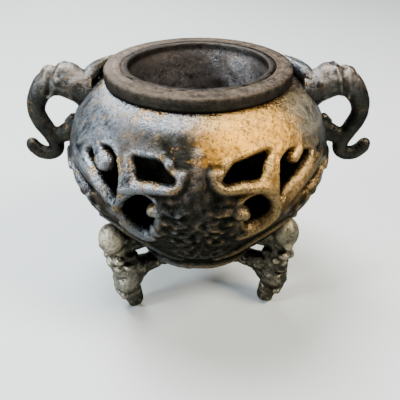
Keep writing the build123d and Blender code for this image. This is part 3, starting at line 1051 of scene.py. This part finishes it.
# Looks of the bronzes, in colours and metres. dark lies in pits and is painted as shade in
# hollows, brown between, and worn on edges, partly wear and partly painted highlight. patinas
# lists (colour, strength, zones), where a zone is (middle, inner radius, outer radius) and no
# zones means patches everywhere. shade holds the heights where patina starts and is full, so that
# below them the bronze is darker towards the bottom as painted shade, and upward says how much it
# keeps to places that face up, partly dust and partly painted light from above.
# worn_left is for worn places on the front's left and the back's right, tinted bluish
# as a painted reflection of cool light.
# bare_zones keep patina and worn colour off places that lie in shade, as painted shade.
plain_look = dict(wear_share=0.6, upward=0.6, flecks=None, bare_zones=[], worn_left=None,
                  inside=None)
bronzes = {
    # Grey-blue on the left shoulder, partly patina and partly a painted reflection of cool light,
    # golden ochre on the right, and painted shade below
    "bowl_bronze": dict(
        dark=(0.002, 0.003, 0.002), brown=(0.026, 0.023, 0.018), worn=(0.44, 0.29, 0.12),
        gloss=0.20, pits=0.8, shade=(0.050, 0.088), wear_share=0.52,
        # worn colour of the left, tinted bluish as a painted reflection of cool light
        flecks=((0.40, 0.21, 0.06), 0.75), worn_left=(0.34, 0.36, 0.40),
        patinas=[
            ((0.080, 0.062, 0.050), 0.9, []),
            # grey-blue patches, mostly on the front's left, partly patina and partly painted
            # reflection of cool light
            ((0.20, 0.225, 0.255), 0.9, both_faces(((-0.042, -0.018, 0.094), 0.010, 0.032),
                                                   ((0.046, -0.010, 0.090), 0.004, 0.020))),
            ((0.38, 0.21, 0.06), 0.9, both_faces(((0.030, -0.036, 0.080), 0.006, 0.020),
                                                 ((0.024, -0.042, 0.060), 0.006, 0.014))),
            ((0.36, 0.33, 0.25), 0.9, both_faces(((0.040, -0.020, 0.096), 0.008, 0.018))),
            ((0.74, 0.36, 0.040), 0.98, both_faces(((0.020, -0.039, 0.095), 0.010, 0.024))),
        ],
        # painted shade on the lower middle of the front and back
        bare_zones=both_faces(((0, -0.048, 0.064), 0.010, 0.022),
                              ((0, -0.040, 0.048), 0.016, 0.026))),
    # Warm worn taupe on top, dark green-black in the wall, and a painted highlight on the left of
    # the top
    "rim_bronze": dict(
        dark=(0.006, 0.007, 0.006), brown=(0.018, 0.018, 0.015), worn=(0.40, 0.31, 0.24),
        gloss=0.02, pits=0.5, shade=(0.09, 0.10), wear_share=0.5, upward=1.0,
        patinas=[((0.66, 0.49, 0.37), 1.0, [((0, 0, 0.106), 0.06, 0.09)]),
                 # painted highlight: pale patch on the left of the ring's top
                 ((0.92, 0.74, 0.62), 0.9, [((-0.045, 0.01, 0.106), 0.01, 0.05)])]),
    # Smooth dark brown with a half gloss, a paler inner wall and a worn lip
    "liner_bronze": dict(
        dark=(0.004, 0.004, 0.003), brown=(0.020, 0.016, 0.014), worn=(0.34, 0.27, 0.21),
        gloss=0.20, pits=0.2, shade=(0.03, 0.05), upward=0.2, inside=(0.25, 0.23, 0.225),
        patinas=[((0.52, 0.40, 0.32), 1.0, [((0, 0, 0.120), 0.030, 0.036)])]),
    # Dark brown-green with greyish tops and reddish gold on the worn parts
    "handle_bronze": dict(
        dark=(0.007, 0.009, 0.008), brown=(0.028, 0.025, 0.020), worn=(0.36, 0.29, 0.21),
        gloss=0.20, pits=0.5, shade=(0.066, 0.100), upward=0.9,
        flecks=((0.42, 0.22, 0.09), 0.7),
        patinas=[((0.12, 0.14, 0.155), 0.85, []),
                 ((0.20, 0.175, 0.16), 0.8, both_faces(((0.052, 0, 0.105), 0.006, 0.020)))]),
    # Dusty olive tan over dark brown, paler on the left leg and the right leg's head as painted
    # light, with painted shade behind the heads
    "leg_bronze": dict(
        dark=(0.010, 0.011, 0.008), brown=(0.050, 0.046, 0.034), worn=(0.50, 0.43, 0.30),
        gloss=0.20, pits=0.55, shade=(-0.02, 0.03), wear_share=0.85,
        patinas=[((0.13, 0.11, 0.075), 0.8, []),
                 # painted light: paler patches on the front-left leg's head and muzzle, and on
                 # the front-right leg's head
                 ((0.62, 0.55, 0.41), 0.95, [((-0.038, -0.026, 0.041), 0.007, 0.015)]),
                 ((0.40, 0.38, 0.32), 0.9, [((-0.036, -0.024, 0.018), 0.006, 0.016)]),
                 ((0.32, 0.28, 0.18), 0.9, [((0.037, -0.020, 0.041), 0.006, 0.014)])],
        # painted shade under the bowl, behind each leg's head
        bare_zones=[((-0.0290, -0.0188, 0.033), 0.003, 0.010),
                    ((0.0308, -0.0157, 0.033), 0.003, 0.010),
                    ((-0.0018, 0.0345, 0.033), 0.003, 0.010)]),
    # Dull hammered dark bronze
    "rivet_bronze": dict(
        dark=(0.022, 0.020, 0.015), brown=(0.10, 0.075, 0.05), worn=(0.30, 0.21, 0.12),
        gloss=0.18, pits=0.4, shade=(-0.02, 0.02), patinas=[((0.20, 0.17, 0.13), 0.7, [])]),
}


def surface_facts(tree):
    """What the bronze reads: place, facing, stored relief, and four sizes of noise."""
    coords = Value(tree.nodes.new("ShaderNodeTexCoord"), "Object")
    normal = Value(tree.nodes.new("ShaderNodeNewGeometry"), "Normal")
    axis, facing = (new_node(tree, "ShaderNodeSeparateXYZ", {0: vector})
                    for vector in (coords, normal))
    wear, form = (Value(new_node(tree, "ShaderNodeAttribute", attribute_name=name), "Fac")
                  for name in ("wear", "form"))
    return SimpleNamespace(
        tree=tree, coords=coords, x=Value(axis, "X"), y=Value(axis, "Y"), z=Value(axis, "Z"),
        out_x=Value(facing, "X"), out_y=Value(facing, "Y"), up=Value(facing, "Z"),
        wear=wear, form=form,
        large=noise_value(coords, 18.0, 4.0, 0.6), medium=noise_value(coords, 5.0, 6.0, 0.65),
        small=noise_value(coords, 1.3, 5.0, 0.7), grain=noise_value(coords, 0.5, 2.0, 0.6),
    )


def zone(facts, middle, inner, outer):
    """Soft ball-shaped area: 1 inside, 0 outside, with a ragged edge."""
    distance = new_node(facts.tree, "ShaderNodeVectorMath", {0: facts.coords},
                        operation="DISTANCE")
    distance.inputs[1].default_value = middle
    return (Value(distance, "Value") + (facts.medium - 0.5) * ragged_edge).soft(outer, inner)


def lit_patina_share(facts, look):
    """How much patina and painted light a place gets: more where it faces up, partly dust and
    partly painted light from above, and none below the shade heights, as painted shade.
    """
    # painted light from above, partly dust: places that face up get more patina
    share = facts.up.soft(-0.45, 0.85) * look.upward + (1 - look.upward)
    # painted shade: darker towards the bottom, with no patina below the shade heights
    share = share * facts.z.soft(*look.shade)
    # painted shade: less patina and worn colour in these zones
    for place in look.bare_zones:
        share = share * (zone(facts, *place) * -1 + 1)
    return share


def patina_layers(facts, look, share, colour):
    """Colour with the patinas over it, and how much of it they cover."""
    dusty = (facts.medium * 0.5 + facts.small * 0.5).soft(0.40, 0.58) * 0.72 + 0.28
    cover = dusty * 0
    for patina, strength, zones in look.patinas:
        area = dusty * 0 if zones else facts.large.soft(0.42, 0.66)
        for place in zones:
            area = area.most(zone(facts, *place))
        area = (area * dusty * share * strength).clamped()
        colour = area.mixed(colour, patina)
        cover = cover.most(area)
    return colour, cover


def worn_and_highlit_edge(facts, share):
    """1 on worn edges and crests, partly wear and partly painted highlight, less where a place
    carries no patina or painted light.
    """
    edge = facts.wear.soft(0.54, 0.88).most(facts.form.soft(0.74, 1.0) * 0.35)
    return edge * (facts.small * 0.9 + 0.2).clamped() * (share * 0.84 + 0.16)


def casting_pits(facts, amount):
    """Small dark pits of the casting in patches, and specks between them."""
    cells = new_node(facts.tree, "ShaderNodeTexVoronoi",
                     {"Vector": facts.coords, "Scale": 1 / (pit_size_mm * MM)})
    pit = Value(cells, "Distance").soft(0.34, 0.16) * facts.medium.soft(0.42, 0.60)
    return pit.most(facts.grain.soft(0.40, 0.28)) * amount


def bronze_colour(facts, look, share, edge, pit):
    """Colour of the bronze, layer over layer, and how much patina covers it."""
    colour = facts.medium.soft(0.32, 0.70).mixed(look.dark, look.brown)
    colour, cover = patina_layers(facts, look, share, colour)
    if look.inside:
        outwards = facts.x * facts.out_x + facts.y * facts.out_y
        inner_wall = outwards.soft(0.004, -0.004) * facts.medium.soft(0.25, 0.65)
        colour = inner_wall.mixed(colour, look.inside)
    if look.flecks:
        fleck_colour, amount = look.flecks
        patch = noise_value(facts.coords, 3.6, 6.0, 0.75).soft(0.56, 0.68)
        colour = (patch * share * amount).clamped().mixed(colour, fleck_colour)
    worn = look.worn
    # painted reflection: worn places on the front's left and the back's right tinted bluish, as
    # cool light
    if look.worn_left:
        mottled = facts.medium.soft(0.50, 0.62).mixed(look.worn_left, worn)
        worn = (facts.x * facts.y).soft(0.0006, -0.0006).mixed(mottled, worn)
    # worn edges, partly wear and partly painted highlight, lighter where painted light falls
    colour = (edge * look.wear_share).mixed(colour, worn)
    # painted highlight: the sharpest crests take the worn colour
    colour = (facts.wear.soft(0.85, 1.0) * 0.14).mixed(colour, worn)
    # painted shade: hollows and creases darkened towards the dark colour
    hollow_shade = (facts.wear.soft(0.47, 0.25) * 0.75).most(facts.form.soft(0.46, 0.16) * 0.85)
    return pit.mixed(hollow_shade.mixed(colour, look.dark), look.dark), cover


def cast_bronze(slot):
    """Old cast bronze: painted shade in hollows and darker towards the bottom, patina on top,
    partly painted light from above, and worn edges, partly with painted highlights.
    """
    name = slot + "_patina"
    if name in bpy.data.materials:
        return bpy.data.materials[name]
    material = bpy.data.materials.new(name)
    material.use_nodes = True
    look = SimpleNamespace(**{**plain_look, **bronzes[slot]})
    facts = surface_facts(material.node_tree)
    # share of patina and painted light from above, none below the shade heights or in the painted
    # shade zones
    share = lit_patina_share(facts, look)
    edge = worn_and_highlit_edge(facts, share)
    pit = casting_pits(facts, look.pits)
    colour, cover = bronze_colour(facts, look, share, edge, pit)
    rough = cover * 0.22 + facts.small * 0.40 + pit * 0.2 - edge * 0.18 + (0.30 - look.gloss)
    height = facts.medium * 0.8 + facts.small * 0.40 + facts.grain * 0.16 - pit * 0.22
    bump = new_node(facts.tree, "ShaderNodeBump",
                    {"Strength": 1.0, "Distance": bump_depth, "Height": height})
    shader = material.node_tree.nodes["Principled BSDF"]
    for place, value in (("Base Color", colour), ("Roughness", rough.clamped()),
                         ("Normal", Value(bump)), ("Metallic", metallic),
                         ("Specular IOR Level", specular_level),
                         ("Specular Tint", specular_tint)):
        set_input(shader, place, value)
    return material


# ---- the burner
add_camera()
add_studio()
body_shell()
rim_ring()
liner_cup()
lugs()
handles()
legs()
dress_cad_rivets()
